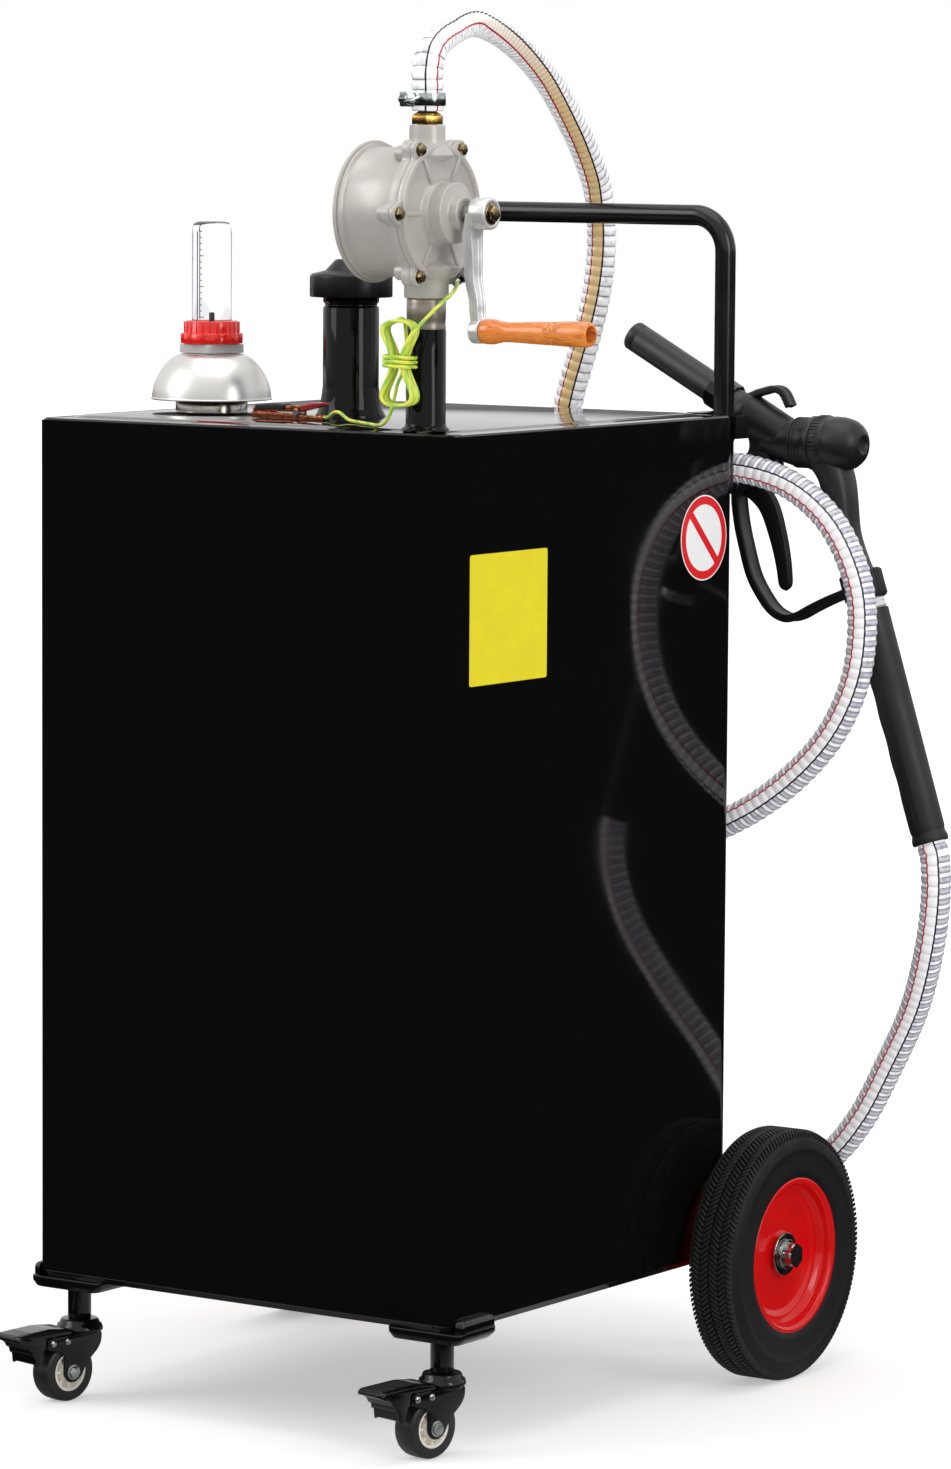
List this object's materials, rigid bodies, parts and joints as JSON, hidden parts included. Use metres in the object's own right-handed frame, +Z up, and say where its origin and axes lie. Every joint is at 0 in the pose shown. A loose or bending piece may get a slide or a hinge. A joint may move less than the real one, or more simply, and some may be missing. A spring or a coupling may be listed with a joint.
{
  "type": "fuel caddy",
  "caption": "Wheeled sheet steel fuel tank with a hand crank pump, hose, dispensing nozzle, float gauge, push handle and earth lead.",
  "frame": {"origin": "floor level, under the middle of the rigid pieces' box", "axes": "+X towards the side of the pump crank, +Y towards the push handle and the big wheels, +Z up"},
  "size_m": [0.6357, 0.6046, 1.1315],
  "materials": {
    "tank_steel": "gloss black powder coat",
    "cap_paint": "satin black",
    "spun_aluminium": "satin spun",
    "gauge_plate": "light grey moulded",
    "red_plastic": "translucent red",
    "clear_plastic": "clear moulded",
    "indicator_plastic": "black",
    "cast_aluminium": "grey as cast",
    "bright_aluminium": "bright cast",
    "plain_steel": "bright turned",
    "vane_plastic": "dark",
    "zinc_steel": "zinc plated",
    "varnished_wood": "clear varnished",
    "brass": "turned",
    "clear_hose": "clear ribbed, wire wound",
    "tyre_rubber": "matte black rubber",
    "rim_red": "gloss red",
    "caster_tread": "grey black",
    "pedal_steel": "black",
    "nozzle_plastic": "satin black moulded",
    "spout_black": "black satin coated tube",
    "earth_wire": "yellow and green",
    "clamp_copper": "copper plated"
  },
  "bodies": {
    "chassis": {"tank_wrap": "tank_steel", "tank_top": "tank_steel", "tank_bottom": "tank_steel", "filler_neck": "tank_steel", "gauge_bung": "spun_aluminium", "gauge_dome": "spun_aluminium", "gauge_flange": "gauge_plate", "gauge_ring": "red_plastic", "gauge_tube": "clear_plastic", "pump_nipple": "plain_steel", "dip_tube": "plain_steel", "pump_body": "cast_aluminium", "pump_cover": "cast_aluminium", "outlet_fitting": "brass", "hose_clamp": "zinc_steel", "hose": "clear_hose", "push_handle": "tank_steel", "nozzle_holder": "tank_steel", "hose_hanger": "tank_steel", "axle": "zinc_steel", "axle_bracket_left": "tank_steel", "axle_bracket_right": "tank_steel", "caster_shoe_left": "tank_steel", "caster_shoe_right": "tank_steel", "caster_stem_left": "pedal_steel", "caster_stem_right": "pedal_steel", "nozzle_body": "nozzle_plastic", "nozzle_spout": "spout_black", "nozzle_cap": "nozzle_plastic", "trigger_guard": "nozzle_plastic", "nozzle_ring": "zinc_steel", "nozzle_sleeve": "nozzle_plastic", "earth_cable_upper": "earth_wire", "earth_hank": "earth_wire", "earth_cable_lower": "earth_wire", "clamp_jaw_fixed": "clamp_copper"},
    "wheel_left": {"rim_left": "rim_red", "tyre_left": "tyre_rubber"},
    "wheel_right": {"rim_right": "rim_red", "tyre_right": "tyre_rubber"},
    "swivel_left": {"caster_fork_left": "pedal_steel", "caster_axle_left": "zinc_steel"},
    "swivel_right": {"caster_fork_right": "pedal_steel", "caster_axle_right": "zinc_steel"},
    "roller_left": {"caster_wheel_left": "caster_tread"},
    "roller_right": {"caster_wheel_right": "caster_tread"},
    "brake_left": {"caster_pedal_left": "pedal_steel"},
    "brake_right": {"caster_pedal_right": "pedal_steel"},
    "crank": {"crank_arm": "bright_aluminium", "crank_screw": "zinc_steel", "grip_pin": "zinc_steel", "pump_rotor": "plain_steel"},
    "grip": {"crank_grip": "varnished_wood"},
    "vane_up": {"vane_upper": "vane_plastic"},
    "vane_down": {"vane_lower": "vane_plastic"},
    "cap": {"filler_cap": "cap_paint"},
    "float": {"gauge_float_arm": "indicator_plastic"},
    "indicator": {"gauge_indicator": "indicator_plastic"},
    "lever": {"trigger": "nozzle_plastic"},
    "clamp": {"clamp_jaw_moving": "clamp_copper"}
  },
  "joints": [
    {"name": "filler_cap_lift", "type": "slide", "parent": "chassis", "child": "cap", "axis": [0, 0, 1], "range_m": [0, 0.045]},
    {"name": "crank_turn", "type": "hinge", "parent": "chassis", "child": "crank", "pos_m": [0.14516, -0.21421, 0.9715], "axis": [1, 0, 0], "continuous": true},
    {"name": "grip_spin", "type": "hinge", "parent": "crank", "child": "grip", "pos_m": [0.20716, -0.21421, 0.8815], "axis": [1, 0, 0], "continuous": true},
    {"name": "vane_upper_slide", "type": "slide", "parent": "crank", "child": "vane_up", "axis": [0, 0, 1], "range_m": [0, 0.004]},
    {"name": "vane_lower_slide", "type": "slide", "parent": "crank", "child": "vane_down", "axis": [0, 0, -1], "range_m": [0, 0.004]},
    {"name": "float_swing", "type": "hinge", "parent": "chassis", "child": "float", "pos_m": [-0.20184, -0.07921, 0.472], "axis": [0, -1, 0], "range_deg": [0, 140]},
    {"name": "indicator_rise", "type": "slide", "parent": "chassis", "child": "indicator", "axis": [0, 0, 1], "range_m": [0, 0.068]},
    {"name": "trigger_squeeze", "type": "hinge", "parent": "chassis", "child": "lever", "pos_m": [0.11716, 0.23379, 0.741], "axis": [0, -1, 0], "range_deg": [0, 15], "stiffness_Nm_per_rad": 1.5, "springref_deg": -17.19},
    {"name": "clamp_open", "type": "hinge", "parent": "chassis", "child": "clamp", "pos_m": [-0.05484, -0.15921, 0.8098], "axis": [0, 1, 0], "range_deg": [0, 14], "stiffness_Nm_per_rad": 0.4, "springref_deg": -22.92},
    {"name": "wheel_left_spin", "type": "hinge", "parent": "chassis", "child": "wheel_left", "pos_m": [-0.29434, 0.18859, 0.105], "axis": [1, 0, 0], "continuous": true},
    {"name": "caster_left_swivel", "type": "hinge", "parent": "chassis", "child": "swivel_left", "pos_m": [-0.23484, -0.21271, 0.055], "axis": [0, 0, 1], "continuous": true},
    {"name": "caster_left_roll", "type": "hinge", "parent": "swivel_left", "child": "roller_left", "pos_m": [-0.23859, -0.23032, 0.025], "axis": [0.9781, -0.2079, 0], "continuous": true},
    {"name": "caster_left_brake", "type": "hinge", "parent": "swivel_left", "child": "brake_left", "pos_m": [-0.24285, -0.25037, 0.051], "axis": [0.9781, -0.2079, 0], "range_deg": [0, 8], "stiffness_Nm_per_rad": 0.8, "springref_deg": -17.19},
    {"name": "wheel_right_spin", "type": "hinge", "parent": "chassis", "child": "wheel_right", "pos_m": [0.18466, 0.18859, 0.105], "axis": [1, 0, 0], "continuous": true},
    {"name": "caster_right_swivel", "type": "hinge", "parent": "chassis", "child": "swivel_right", "pos_m": [0.12516, -0.21271, 0.055], "axis": [0, 0, 1], "continuous": true},
    {"name": "caster_right_roll", "type": "hinge", "parent": "swivel_right", "child": "roller_right", "pos_m": [0.12141, -0.23032, 0.025], "axis": [0.9781, -0.2079, 0], "continuous": true},
    {"name": "caster_right_brake", "type": "hinge", "parent": "swivel_right", "child": "brake_right", "pos_m": [0.11715, -0.25037, 0.051], "axis": [0.9781, -0.2079, 0], "range_deg": [0, 8], "stiffness_Nm_per_rad": 0.8, "springref_deg": -17.19}
  ],
  "couplings": [
    {"joint": "indicator_rise", "follows": "float_swing", "m_per_rad": 0.0278}
  ]
}
